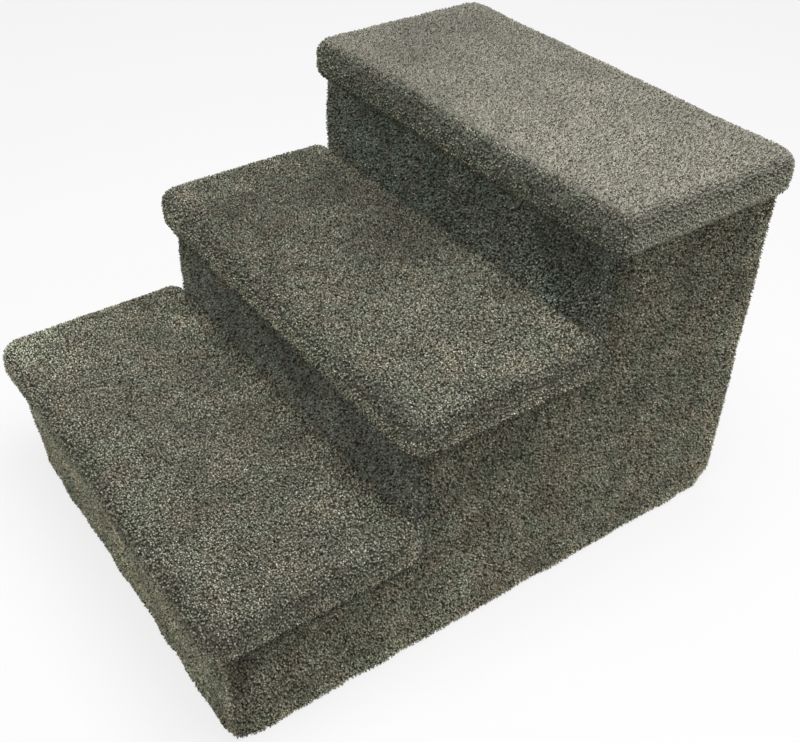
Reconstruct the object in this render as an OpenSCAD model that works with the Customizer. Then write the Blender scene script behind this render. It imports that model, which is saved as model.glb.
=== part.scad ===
// Carpeted pet stairs with three steps. A plywood box of side panels, risers and a back,
// held by inner posts, cleats and rails, carries three plywood treads. Cut-pile carpet
// covers every outer wall, and each tread is a board wrapped in its own piece of carpet.
// X runs across the steps, Y from the foot of the stairs to the back, and Z up.
// The origin is on the floor, under the middle of the whole outline.

/* [Steps] */
// Width of a tread over its carpet
tread_width = 457; // [400:1:560]
// How far a tread hangs out past the carpet of the body at each side
side_overhang = 15.5; // [8:0.5:30]
// Height of the lower tread above the floor
lower_rise = 163; // [130:1:220]
// Height of the middle tread above the lower one
middle_rise = 115; // [100:1:170]
// Height of the upper tread above the middle one
upper_rise = 116; // [100:1:170]
// Depth from the face of the lower riser to the middle one
lower_run = 179.5; // [155:0.5:250]
// Depth from the face of the middle riser to the upper one
middle_run = 185.5; // [155:0.5:250]
// Depth from the face of the upper riser to the back
upper_run = 207; // [155:1:270]
// How far the lower tread stands out past its riser
lower_nosing = 17.5; // [8:0.5:28]
// How far the middle tread stands out past its riser
middle_nosing = 14; // [8:0.5:28]
// How far the upper tread stands out past its riser
upper_nosing = 11; // [8:0.5:28]
// How far the upper tread hangs out past the back
back_overhang = 4; // [2:0.5:20]

/* [Carpet] */
// Thickness of the carpet, backing and pile together
carpet_thickness = 9; // [6:0.5:11]
// How far a tread's carpet is folded in under its board, from its outer edge
fold_width = 62; // [48:1:68]
// Thickness of the hem, pressed flat between the box and the floor
hem_thickness = 6; // [4:0.5:9]
// Radius of the lower outer edge of the wall carpet
hem_radius = 5; // [3:0.5:9]
// Radius of the upright corners of the wall carpet
wall_corner_radius = 4.5; // [4:0.5:11]
// Width of the cut where two folds meet at a tread's corner
mitre_gap = 1; // [0.5:0.1:3]

/* [Boards] */
// Thickness of the tread boards
board_thickness = 19; // [16:0.5:25]
// Radius of the rounded-over upper edges of the tread boards
board_edge_radius = 6; // [2:0.5:6.5]
// Radius of the slightly eased lower edges of the tread boards
board_lower_radius = 1; // [0.5:0.5:2]
// Radius of the outer corners of the tread boards, seen from above
board_corner_radius = 12; // [8:0.5:30]
// Radius of the corners of the two lower tread boards that meet the next riser
board_inner_corner_radius = 7; // [7:0.5:30]
// Thickness of the side panels, risers and back panel
panel_thickness = 12; // [9:0.5:18]

/* [Inner frame] */
// Side of the square cleats and posts
cleat_size = 20; // [16:0.5:30]
// Thickness of the cross rails under the middle and upper risers
rail_thickness = 19; // [14:0.5:25]
// How far a cross rail reaches forward under the rear edge of a tread
rail_reach = 28; // [20:1:45]

/* [Fasteners] */
// Diameter of a screw's shank
screw_diameter = 4; // [3:0.1:5]
// Diameter of a screw's countersunk head
screw_head_diameter = 8; // [6.5:0.1:9]
// Depth of a screw's countersunk head
screw_head_depth = 3; // [2:0.1:4]
// Length of a screw's point
screw_point = 4; // [2:0.1:6]
// How far the screws through the panels reach into the frame
panel_screw_bite = 15; // [10:0.5:15.5]
// How far the screws that hold the treads down reach into the tread boards
tread_screw_bite = 11; // [8:0.5:15]
// Width of a staple's crown
staple_crown = 11; // [8:0.5:13]
// Thickness of the staple wire
staple_wire = 1.2; // [0.8:0.1:1.6]
// Length of a staple's legs
staple_leg = 12; // [9:0.5:14]
// How deep a staple's crown sinks into the folded carpet of a tread
tread_staple_sink = 3.5; // [2:0.1:4.5]
// How deep a staple's crown sinks into the hem
hem_staple_sink = 1.5; // [1:0.1:2.5]

/* [Hidden] */
$fn = 48;

// Colours of the pile, the plywood, the softwood and the zinc-plated steel
pile_colour = [0.42, 0.41, 0.36];
plywood_colour = [0.80, 0.66, 0.46];
softwood_colour = [0.87, 0.74, 0.53];
steel_colour = [0.72, 0.72, 0.70];

// Clearances: a carpet on its wood, a tread on the riser behind it, a screw in its hole
seat_gap = 0.2;
tread_gap = 0.3;
screw_gap = 0.1;
staple_gap = 0.15;
// How far a cut runs past the faces that it opens
overrun = 1;
// How far the wood lies inside the outer face of its carpet
skin = carpet_thickness + seat_gap;

// Sizes of the body
body_width = tread_width - 2 * side_overhang;
body_depth = lower_run + middle_run + upper_run;
total_depth = lower_nosing + body_depth + back_overhang;
wood_half = body_width / 2 - skin;
inner_half = wood_half - panel_thickness;
wrap_height = board_thickness + 2 * skin;

// Steps from the lowest to the highest: tread tops, panel tops, riser faces, nosings
tread_tops = [lower_rise, lower_rise + middle_rise, lower_rise + middle_rise + upper_rise];
panel_tops = [for (top = tread_tops) top - wrap_height];
first_face = lower_nosing - total_depth / 2;
back_face = first_face + body_depth;
riser_faces = [first_face, first_face + lower_run, back_face - upper_run];
nosings = [lower_nosing, middle_nosing, upper_nosing];
tread_backs = [riser_faces[1] - tread_gap, riser_faces[2] - tread_gap, back_face + back_overhang];
steps = [0, 1, 2];
last_step = 2;
sides = [-1, 1];

// Front and back planes of the plywood, and the foot and head of each tier's posts
board_fronts = [for (face = riser_faces) face + skin];
board_backs = [for (front = board_fronts) front + panel_thickness];
wood_back = back_face - skin;
inner_back = wood_back - panel_thickness;
tier_floors = [hem_thickness, panel_tops[0], panel_tops[1]];
post_heads = [for (top = panel_tops) top - cleat_size];

// Front and back ends of the cleats under each tread
rail_fronts = [board_fronts[1] - rail_reach, board_fronts[2] - rail_reach];
cleat_backs = [rail_fronts[0], rail_fronts[1], inner_back];

// Radii of the wrapped treads and of the wall carpet, held to its thickness
tread_edge_radius = board_edge_radius + skin;
tread_lower_radius = board_lower_radius + skin;
hem_edge_radius = min(hem_radius, carpet_thickness);
corner_radius = min(wall_corner_radius, carpet_thickness);

// Lengths of the screws, and the radius of their blunt point as a share of the shank's
panel_screw_length = panel_thickness + panel_screw_bite;
tread_screw_length = cleat_size + skin + tread_screw_bite;
point_share = 0.2;

// Places of the fasteners, as shares of the length of the piece they hold
post_side_shares = [0.18, 0.82];
post_riser_shares = [0.38, 0.62];
rear_side_shares = [0.1, 0.5, 0.9];
rear_back_shares = [0.2, 0.44, 0.76];
cleat_side_shares = [0.38, 0.62];
cleat_tread_shares = [0.15, 0.7];
rail_end_shares = [0.3, 0.7];
front_staple_shares = [0.08, 0.29, 0.5, 0.71, 0.92];
side_staple_shares = [0.25, 0.75];
side_hem_shares = [0.06, 0.23, 0.41, 0.59, 0.77, 0.94];
cross_hem_shares = [0.08, 0.36, 0.64, 0.92];
// How far the staples stand from the inner edge of a fold
staple_inset = 3 * staple_wire + staple_crown / 2;

function tread_front(step) = riser_faces[step] - nosings[step];
function tread_depth(step) = tread_backs[step] - tread_front(step);
function rear_corner(step) = step == last_step ? board_corner_radius : board_inner_corner_radius;
function board_corners(step) = [board_corner_radius, rear_corner(step)];
function span(low, high, share) = low + (high - low) * share;

// Extrudes an outline of Y and Z across X, centred on X = 0
module across(length) {
    translate([-length / 2, 0, 0])
        rotate([90, 0, 90])
            linear_extrude(length)
                children();
}

// Extrudes an outline of X and Z towards the back from y
module backward(y, length) {
    translate([0, y + length, 0])
        rotate([90, 0, 0])
            linear_extrude(length)
                children();
}

// Quarter of a disc, between its two straight edges
module quarter(radius) {
    intersection() {
        circle(radius);
        square(radius);
    }
}

// Outline from x = 0 to reach, its outer edge rounded more above than below
module round_nosed(reach, height, over, under) {
    square([reach - over, height]);
    square([reach - under, height - over]);
    translate([0, under])
        square([reach, height - over - under]);
    translate([reach - over, height - over])
        quarter(over);
    translate([reach - under, under])
        mirror([0, 1])
            quarter(under);
}

// The same outline rounded at both ends and centred on x = 0
module round_slab_section(width, height, over, under) {
    round_nosed(width / 2, height, over, under);
    mirror([1, 0])
        round_nosed(width / 2, height, over, under);
}

// Board from y = 0 to depth with rounded edges, and with rounded front and rear corners
module soft_board(width, depth, height, over, under, corners) {
    translate([0, corners[0], 0])
        backward(0, depth - corners[0] - corners[1])
            round_slab_section(width, height, over, under);
    for (end = [0, 1])
        translate([0, depth / 2, 0])
            mirror([0, 1 - end, 0])
                across(width - 2 * corners[end])
                    round_nosed(depth / 2, height, over, under);
    for (side = sides, end = [0, 1])
        translate([side * (width / 2 - corners[end]),
                   end == 0 ? corners[0] : depth - corners[1], 0])
            rotate_extrude()
                round_nosed(corners[end], height, over, under);
}

// Countersunk screw, its head's face on z = 0 and its point down
module screw(length) {
    shank = screw_diameter / 2;
    translate([0, 0, -screw_head_depth])
        cylinder(h = screw_head_depth, r1 = shank, r2 = screw_head_diameter / 2);
    translate([0, 0, screw_point - length])
        cylinder(h = length - screw_point - screw_head_depth, r = shank);
    translate([0, 0, -length])
        cylinder(h = screw_point, r1 = shank * point_share, r2 = shank);
}
// Hole that a screw fills, open at the head's side
module screw_hole(length) {
    shank = screw_diameter / 2 + screw_gap;
    translate([0, 0, -screw_head_depth])
        cylinder(h = screw_head_depth, r1 = shank, r2 = screw_head_diameter / 2 + screw_gap);
    translate([0, 0, -length - screw_gap])
        cylinder(h = length + screw_gap, r = shank);
    cylinder(h = overrun, r = screw_head_diameter / 2 + screw_gap);
}

// Staple with its crown along X, the crown's outer face on z = 0 and its legs up
module staple() {
    translate([-staple_crown / 2, -staple_wire / 2, 0])
        cube([staple_crown, staple_wire, staple_wire]);
    for (side = sides)
        translate([side * (staple_crown - staple_wire) / 2 - staple_wire / 2, -staple_wire / 2, 0])
            cube([staple_wire, staple_wire, staple_leg]);
}

// Slot that a staple fills, open below its crown down to the given depth
module staple_slot(depth) {
    wide = staple_wire + 2 * staple_gap;
    translate([-staple_crown / 2 - staple_gap, -wide / 2, -depth])
        cube([staple_crown + 2 * staple_gap, wide, depth + staple_wire + staple_gap]);
    for (side = sides)
        translate([side * (staple_crown - staple_wire) / 2 - wide / 2, -wide / 2, 0])
            cube([wide, wide, staple_leg + staple_gap]);
}

// Places of the screws: through the side panels from outside, into posts, cleats and rails
module at_side(side, y, z) {
    translate([side * wood_half, y, z])
        rotate([0, side * 90, 0])
            children();
}

module at_side_screws(side) {
    for (step = steps, share = post_side_shares)
        at_side(side, board_backs[step] + cleat_size / 2,
                span(tier_floors[step], post_heads[step], share))
            children();
    for (share = rear_side_shares)
        at_side(side, inner_back - cleat_size / 2, span(hem_thickness, post_heads[last_step], share))
            children();
    for (step = steps, share = cleat_side_shares)
        at_side(side, span(board_backs[step], cleat_backs[step], share),
                panel_tops[step] - cleat_size / 2)
            children();
    for (rail = [0, 1], share = rail_end_shares)
        at_side(side, span(rail_fronts[rail], board_backs[rail + 1] + cleat_size, share),
                panel_tops[rail] - rail_thickness / 2)
            children();
}

// Places of the screws through one riser board from the front, into the posts behind it
module at_riser_screws(step) {
    for (side = sides, share = post_riser_shares)
        translate([side * (inner_half - cleat_size / 2), board_fronts[step],
                   span(tier_floors[step], post_heads[step], share)])
            rotate([90, 0, 0])
                children();
}

// Places of the screws through the back panel from behind
module at_back_screws() {
    for (side = sides, share = rear_back_shares)
        translate([side * (inner_half - cleat_size / 2), wood_back,
                   span(hem_thickness, post_heads[last_step], share)])
            rotate([-90, 0, 0])
                children();
}

// Places of the screws up through the cleats into one tread
module at_tread_screws(step) {
    for (side = sides, share = cleat_tread_shares)
        translate([side * (inner_half - cleat_size / 2),
                   span(board_backs[step], cleat_backs[step], share), post_heads[step]])
            rotate([180, 0, 0])
                children();
}

// Places of the staples in the folds under one tread, crowns in line with the edges
module at_tread_staples(step) {
    height = panel_tops[step] + tread_staple_sink;
    front = tread_front(step) + fold_width - staple_inset;
    back = tread_backs[step] - fold_width + staple_inset;
    half = tread_width / 2 - fold_width;
    for (y = [front, back], share = front_staple_shares)
        translate([span(-half, half, share), y, height])
            children();
    for (side = sides, share = side_staple_shares)
        translate([side * (half + staple_inset), span(front, back, share), height])
            rotate([0, 0, 90])
                children();
}

// Places of the staples in the hem, from below into the panels' bottom edges
module at_side_hem_staples(side) {
    for (share = side_hem_shares)
        translate([side * (inner_half + panel_thickness / 2),
                   span(board_backs[0], inner_back, share), hem_staple_sink])
            rotate([0, 0, 90])
                children();
}

module at_cross_hem_staples(y) {
    for (share = cross_hem_shares)
        translate([span(-inner_half, inner_half, share), y, hem_staple_sink])
            children();
}

// Stepped plywood side, with the risers and the back panel lapped over its edges
module side_panel(side) {
    color(plywood_colour)
        difference() {
            translate([side * (wood_half + inner_half) / 2, 0, 0])
                across(panel_thickness)
                    polygon([
                        [board_backs[0], hem_thickness],
                        [inner_back, hem_thickness],
                        [inner_back, panel_tops[2]],
                        [board_backs[2], panel_tops[2]],
                        [board_backs[2], panel_tops[1]],
                        [board_backs[1], panel_tops[1]],
                        [board_backs[1], panel_tops[0]],
                        [board_backs[0], panel_tops[0]]
                    ]);
            at_side_screws(side)
                screw_hole(panel_screw_length);
            at_side_hem_staples(side)
                staple_slot(overrun);
        }
}

// Plywood board across the whole box, lapped over the edges of both side panels
module cross_board(front, low, high) {
    color(plywood_colour)
        translate([0, front, low])
            across(2 * wood_half)
                square([panel_thickness, high - low]);
}

module riser_board(step) {
    color(plywood_colour)
        difference() {
            cross_board(board_fronts[step], tier_floors[step], panel_tops[step]);
            at_riser_screws(step)
                screw_hole(panel_screw_length);
            if (step == 0)
                at_cross_hem_staples(board_fronts[0] + panel_thickness / 2)
                    staple_slot(overrun);
        }
}

module back_panel() {
    color(plywood_colour)
        difference() {
            cross_board(inner_back, hem_thickness, panel_tops[last_step]);
            at_back_screws()
                screw_hole(panel_screw_length);
            at_cross_hem_staples(inner_back + panel_thickness / 2)
                staple_slot(overrun);
        }
}

// Plywood tread, its edges rounded over so that the carpet wraps without a crease
module tread_board(step) {
    color(plywood_colour)
        difference() {
            translate([0, tread_front(step) + skin, panel_tops[step] + skin])
                soft_board(tread_width - 2 * skin, tread_depth(step) - 2 * skin, board_thickness,
                           board_edge_radius, board_lower_radius, board_corners(step));
            at_tread_screws(step)
                screw_hole(tread_screw_length);
            at_tread_staples(step)
                staple_slot(overrun);
        }
}

// Carpet around one tread: over the top, round the edges and folded in underneath
module tread_carpet(step) {
    depth = tread_depth(step);
    color(pile_colour)
        difference() {
            translate([0, tread_front(step), panel_tops[step]])
                soft_board(tread_width, depth, wrap_height, tread_edge_radius,
                           tread_lower_radius, [for (r = board_corners(step)) r + skin]);
            translate([0, tread_front(step) + carpet_thickness, panel_tops[step] + carpet_thickness])
                soft_board(tread_width - 2 * carpet_thickness, depth - 2 * carpet_thickness,
                           board_thickness + 2 * seat_gap, board_edge_radius + seat_gap,
                           board_lower_radius + seat_gap,
                           [for (r = board_corners(step)) r + seat_gap]);
            under_opening(step);
            fold_mitres(step);
            at_tread_screws(step)
                screw_hole(tread_screw_length);
            at_tread_staples(step)
                staple_slot(tread_staple_sink + overrun);
        }
}

// The bare middle of a tread's underside, inside the folds
module under_opening(step) {
    translate([fold_width - tread_width / 2, tread_front(step) + fold_width,
               panel_tops[step] - overrun])
        cube([tread_width - 2 * fold_width, tread_depth(step) - 2 * fold_width,
              carpet_thickness + 2 * overrun]);
}

// Diagonal cuts where the folds meet, from the opening's corners out to the rounded corners
module fold_mitres(step) {
    for (side = sides, end = [0, 1]) {
        long = sqrt(2) * (fold_width - skin - board_corners(step)[end]);
        translate([side * (tread_width / 2 - fold_width),
                   end == 0 ? tread_front(step) + fold_width : tread_backs[step] - fold_width,
                   panel_tops[step] - overrun])
            rotate([0, 0, atan2(end == 0 ? -1 : 1, side)])
                translate([-mitre_gap, -mitre_gap / 2, 0])
                    cube([long + mitre_gap, mitre_gap, skin + overrun]);
    }
}

// Upright square posts in the corners behind the risers and in front of the back
module post_pair(front, low, high) {
    for (side = sides)
        translate([side * (inner_half - cleat_size / 2) - cleat_size / 2, front, low])
            cube([cleat_size, cleat_size, high - low]);
}

module tier_posts(step) {
    color(softwood_colour)
        difference() {
            post_pair(board_backs[step], tier_floors[step], post_heads[step]);
            for (side = sides)
                at_side_screws(side)
                    screw_hole(panel_screw_length);
            at_riser_screws(step)
                screw_hole(panel_screw_length);
        }
}

module rear_posts() {
    color(softwood_colour)
        difference() {
            post_pair(inner_back - cleat_size, hem_thickness, post_heads[last_step]);
            for (side = sides)
                at_side_screws(side)
                    screw_hole(panel_screw_length);
            at_back_screws()
                screw_hole(panel_screw_length);
        }
}

// Square cleats along the side panels, which the treads are screwed to from below
module tread_cleats(step) {
    color(softwood_colour)
        difference() {
            for (side = sides)
                translate([side * (inner_half - cleat_size / 2) - cleat_size / 2,
                           board_backs[step], post_heads[step]])
                    cube([cleat_size, cleat_backs[step] - board_backs[step], cleat_size]);
            for (side = sides)
                at_side_screws(side)
                    screw_hole(panel_screw_length);
            at_tread_screws(step)
                screw_hole(tread_screw_length);
        }
}

// Rail across the box under a riser and under the rear edge of the tread in front of it
module cross_rail(rail) {
    color(softwood_colour)
        difference() {
            translate([-inner_half, rail_fronts[rail], panel_tops[rail] - rail_thickness])
                cube([2 * inner_half, board_backs[rail + 1] + cleat_size - rail_fronts[rail],
                      rail_thickness]);
            for (side = sides)
                at_side_screws(side)
                    screw_hole(panel_screw_length);
        }
}

// Outline in X and Y of a sheet of wall carpet with its two outer corners rounded
module wall_plan() {
    half = body_width / 2;
    translate([-half + corner_radius, 0])
        square([2 * (half - corner_radius), carpet_thickness]);
    for (side = sides)
        translate([side * (half - corner_radius), 0])
            mirror([side < 0 ? 1 : 0, 0])
                corner_plan();
}

module corner_plan() {
    translate([0, corner_radius])
        square([corner_radius, max(carpet_thickness - corner_radius, 0) + seat_gap]);
    translate([0, corner_radius])
        mirror([0, 1])
            quarter(corner_radius);
}

// Outline of a wall sheet with its hem: x from the outer face inwards, y up
module hemmed_section(high) {
    translate([hem_edge_radius, 0])
        square([skin + panel_thickness - hem_edge_radius, hem_thickness]);
    translate([0, hem_edge_radius])
        square([carpet_thickness, high - hem_edge_radius]);
    if (hem_edge_radius > hem_thickness)
        translate([hem_edge_radius, hem_thickness])
            square([carpet_thickness - hem_edge_radius, hem_edge_radius - hem_thickness]);
    translate([hem_edge_radius, hem_edge_radius])
        rotate(180)
            quarter(hem_edge_radius);
}

// Carpet of the middle and upper risers, standing on the side panels behind a tread
module riser_carpet(step) {
    color(pile_colour)
        translate([0, riser_faces[step], tier_floors[step] + seat_gap])
            linear_extrude(panel_tops[step] - tier_floors[step] - 2 * seat_gap)
                wall_plan();
}

// Wall carpet with a hem, its outer face on y = 0 and the hem towards +Y
module hemmed_wall(high) {
    intersection() {
        across(body_width)
            hemmed_section(high);
        union() {
            linear_extrude(high)
                wall_plan();
            translate([-wood_half, carpet_thickness / 2, 0])
                cube([2 * wood_half, skin + panel_thickness, high]);
        }
    }
}

module lower_riser_carpet() {
    color(pile_colour)
        difference() {
            translate([0, riser_faces[0], 0])
                hemmed_wall(panel_tops[0] - seat_gap);
            at_cross_hem_staples(board_fronts[0] + panel_thickness / 2)
                staple_slot(hem_staple_sink + overrun);
        }
}

module back_carpet() {
    color(pile_colour)
        difference() {
            translate([0, back_face, 0])
                mirror([0, 1, 0])
                    hemmed_wall(panel_tops[last_step] - seat_gap);
            at_cross_hem_staples(inner_back + panel_thickness / 2)
                staple_slot(hem_staple_sink + overrun);
        }
}

// One stepped sheet on each side, from under the treads down to the hem
module side_carpet(side) {
    front = riser_faces[0] + skin;
    back = back_face - skin;
    color(pile_colour)
        difference() {
            intersection() {
                across(body_width)
                    polygon([
                        [front, 0],
                        [back, 0],
                        [back, panel_tops[2] - seat_gap],
                        [riser_faces[2] + skin, panel_tops[2] - seat_gap],
                        [riser_faces[2] + skin, panel_tops[1] - seat_gap],
                        [riser_faces[1] + skin, panel_tops[1] - seat_gap],
                        [riser_faces[1] + skin, panel_tops[0] - seat_gap],
                        [front, panel_tops[0] - seat_gap]
                    ]);
                translate([side * body_width / 2, 0, 0])
                    mirror([side > 0 ? 1 : 0, 0, 0])
                        backward(front, back - front)
                            hemmed_section(panel_tops[last_step]);
            }
            side_hem_ends(front, back);
            at_side_hem_staples(side)
                staple_slot(hem_staple_sink + overrun);
        }
}

// The corners of the hem, which belong to the lower riser's carpet and the back's
module side_hem_ends(front, back) {
    for (y = [front - overrun, inner_back - seat_gap])
        translate([-wood_half - seat_gap, y, -overrun])
            cube([2 * (wood_half + seat_gap),
                  panel_thickness + seat_gap + overrun, hem_thickness + 2 * overrun]);
}

module side_screws() {
    color(steel_colour)
        for (side = sides)
            at_side_screws(side)
                screw(panel_screw_length);
}

module riser_screws() {
    color(steel_colour) {
        for (step = steps)
            at_riser_screws(step)
                screw(panel_screw_length);
        at_back_screws()
            screw(panel_screw_length);
    }
}

module tread_screws() {
    color(steel_colour)
        for (step = steps)
            at_tread_screws(step)
                screw(tread_screw_length);
}

module tread_staples() {
    color(steel_colour)
        for (step = steps)
            at_tread_staples(step)
                staple();
}

module hem_staples() {
    color(steel_colour) {
        for (side = sides)
            at_side_hem_staples(side)
                staple();
        at_cross_hem_staples(board_fronts[0] + panel_thickness / 2)
            staple();
        at_cross_hem_staples(inner_back + panel_thickness / 2)
            staple();
    }
}

side_panel(-1);  // left_side_panel
side_panel(1);  // right_side_panel
riser_board(0);  // lower_riser_board
riser_board(1);  // middle_riser_board
riser_board(2);  // upper_riser_board
back_panel();
tread_board(0);  // lower_tread_board
tread_board(1);  // middle_tread_board
tread_board(2);  // upper_tread_board
tier_posts(0);  // front_posts
tier_posts(1);  // middle_posts
tier_posts(2);  // upper_posts
rear_posts();
tread_cleats(0);  // lower_tread_cleats
tread_cleats(1);  // middle_tread_cleats
tread_cleats(2);  // upper_tread_cleats
cross_rail(0);  // middle_cross_rail
cross_rail(1);  // upper_cross_rail
tread_carpet(0);  // lower_tread_carpet
tread_carpet(1);  // middle_tread_carpet
tread_carpet(2);  // upper_tread_carpet
lower_riser_carpet();
riser_carpet(1);  // middle_riser_carpet
riser_carpet(2);  // upper_riser_carpet
side_carpet(-1);  // left_side_carpet
side_carpet(1);  // right_side_carpet
back_carpet();
side_screws();
riser_screws();
tread_screws();
tread_staples();
hem_staples();
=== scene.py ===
# %% [markdown]
# # Carpeted stairs for a pet
# These stairs are a plywood box and three boards under cut-pile carpet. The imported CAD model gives
# every size, and this notebook gives the looks: the camera and the light of the studio, the carpet
# with its pile, and the wood and steel that show from below.
# We load the model first and keep its box, because nothing we add may change the size of the
# stairs.

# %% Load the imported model
from math import cos, pi, radians, sin

import bmesh
import bpy
import numpy as np
from mathutils import Matrix, Vector, noise
from mathutils.bvhtree import BVHTree


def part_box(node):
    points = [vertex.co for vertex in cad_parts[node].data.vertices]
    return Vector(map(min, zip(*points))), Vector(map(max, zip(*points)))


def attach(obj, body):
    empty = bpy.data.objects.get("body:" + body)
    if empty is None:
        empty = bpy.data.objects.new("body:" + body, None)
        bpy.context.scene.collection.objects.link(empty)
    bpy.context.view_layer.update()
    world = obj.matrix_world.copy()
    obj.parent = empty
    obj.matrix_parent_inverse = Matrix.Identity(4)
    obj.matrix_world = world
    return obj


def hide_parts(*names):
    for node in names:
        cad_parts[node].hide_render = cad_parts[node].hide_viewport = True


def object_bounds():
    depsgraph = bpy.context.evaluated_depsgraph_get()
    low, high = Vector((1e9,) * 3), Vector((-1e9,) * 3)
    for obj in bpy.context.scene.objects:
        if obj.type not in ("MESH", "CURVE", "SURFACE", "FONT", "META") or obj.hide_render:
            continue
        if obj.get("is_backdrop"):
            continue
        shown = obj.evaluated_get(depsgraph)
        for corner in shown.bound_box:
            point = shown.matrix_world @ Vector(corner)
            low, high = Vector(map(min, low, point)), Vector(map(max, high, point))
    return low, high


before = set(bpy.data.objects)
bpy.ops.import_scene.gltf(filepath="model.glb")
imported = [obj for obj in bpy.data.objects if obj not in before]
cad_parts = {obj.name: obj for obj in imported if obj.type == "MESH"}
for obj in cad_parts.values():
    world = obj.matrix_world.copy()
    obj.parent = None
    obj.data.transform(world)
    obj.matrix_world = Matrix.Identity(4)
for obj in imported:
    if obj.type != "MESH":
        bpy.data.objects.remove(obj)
cad_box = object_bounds()
scene = bpy.context.scene
stairs_low, stairs_high = cad_box
print("stairs, mm:", [round(1000 * size) for size in stairs_high - stairs_low])

# %% [markdown]
# ## The camera
# The photograph was taken from the right-hand front corner, a little above the upper step. A camera
# can be placed by eye, by a tracked constraint, or from measured edges. The edges of the steps gave
# this place, aim, lens and slight roll, so the render lies over the photograph.

# %% Camera
camera_place = Vector((0.7179, -0.48125, 0.8140))
camera_aim = Vector((0.0462, 0.0035, 0.16875))
camera_roll = radians(1.01)
lens_mm = 49.217
sight = 20

photo_camera = bpy.data.objects.new("photo_camera", bpy.data.cameras.new("photo_camera"))
photo_camera.data.lens = lens_mm
photo_camera.data.clip_end = sight
backward = (camera_place - camera_aim).normalized()
level_side = Vector((0, 0, 1)).cross(backward).normalized()
level_up = backward.cross(level_side)
side = cos(camera_roll) * level_side + sin(camera_roll) * level_up
up = cos(camera_roll) * level_up - sin(camera_roll) * level_side
turned = Matrix((side, up, backward)).transposed().to_4x4()
photo_camera.matrix_world = Matrix.Translation(camera_place) @ turned
scene.collection.objects.link(photo_camera)
scene.camera = photo_camera
scene.view_settings.view_transform = "Standard"
print("camera is", round((camera_place - camera_aim).length, 3), "m from its aim")

# %% [markdown]
# ## Writing node trees
# Materials, and the scattering of the pile, are trees of nodes. They could be drawn by hand in the
# editor, but a script can be read and changed. A small class wraps each output, so that maths is
# written as Python sums.

# %% A socket that does maths
class Wire:
    """An output socket that adds Math nodes to its tree when it is used in a sum."""

    def __init__(self, tree, socket):
        self.tree, self.socket = tree, socket

    def maths(self, operation, first, second=0.5, third=0.5):
        return self.tree.add("ShaderNodeMath", dict(operation=operation),
                             {0: first, 1: second, 2: third})[0]

    def __add__(self, other):
        return self.maths("ADD", self, other)

    def __sub__(self, other):
        return self.maths("SUBTRACT", self, other)

    def __mul__(self, other):
        return self.maths("MULTIPLY", self, other)

    def __truediv__(self, other):
        return self.maths("DIVIDE", self, other)

    def __rsub__(self, other):
        return self.maths("SUBTRACT", other, self)

    __radd__, __rmul__ = __add__, __mul__

    def fade(self, low, high, start=0.0, end=1.0):
        """Goes smoothly from start to end as this value goes from low to high."""
        return self.tree.add("ShaderNodeMapRange", dict(interpolation_type="SMOOTHSTEP"),
                             {"Value": self, "From Min": low, "From Max": high,
                              "To Min": start, "To Max": end})["Result"]


# %% [markdown]
# One method makes any node: it sets the node's settings first, because they decide which sockets it
# has, and then fills its sockets with values or links. The same method serves shaders and geometry.

# %% Nodes and their trees
class Node:
    """A node of a tree. Its outputs are read by name or number."""

    def __init__(self, tree, node):
        self.tree, self.node = tree, node

    def __getitem__(self, key):
        if isinstance(key, int):
            return Wire(self.tree, self.node.outputs[key])
        shown = [out for out in self.node.outputs if out.name == key and out.enabled]
        return Wire(self.tree, shown[0])


class Tree:
    """A node tree with one method that makes any node."""

    def __init__(self, tree):
        self.tree = tree

    def add(self, kind, settings=None, sockets=None):
        node = self.tree.nodes.new(kind)
        for name, value in (settings or {}).items():
            if name == "stops":
                self.set_stops(node.color_ramp, value)
            else:
                setattr(node, name, value)
        for key, value in (sockets or {}).items():
            socket = node.inputs[key] if isinstance(key, int) else next(
                found for found in node.inputs if found.name == key and found.enabled)
            if isinstance(value, Wire):
                self.tree.links.new(value.socket, socket)
            else:
                socket.default_value = value
        return Node(self, node)

    @staticmethod
    def set_stops(ramp, stops):
        while len(ramp.elements) > 1:
            ramp.elements.remove(ramp.elements[-1])
        for number, (place, colour) in enumerate(stops):
            stop = ramp.elements[0] if number == 0 else ramp.elements.new(place)
            stop.position = place
            stop.color = (*colour, 1)


# %% A material and its surface
def new_material(name):
    """An empty material and its tree."""
    material = bpy.data.materials.new(name)
    material.use_nodes = True
    material.node_tree.nodes.clear()
    tree = Tree(material.node_tree)
    return material, tree


def principled(tree, settings):
    """Ends a tree in a Principled surface."""
    shader = tree.add("ShaderNodeBsdfPrincipled", None, settings)
    tree.add("ShaderNodeOutputMaterial", None, {"Surface": shader["BSDF"]})


# %% [markdown]
# ## Studio floor
# The photograph has a plain white ground. A white floor alone would render grey wherever the light
# is soft, and more light would bleach the carpet. So the floor is near white, which also lights the
# side from below, and for the camera alone it is mostly glow, with a faint shadow of the stairs.

# %% Floor
floor_size = 12.0
floor_white = 0.86
floor_glow = 0.80

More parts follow.
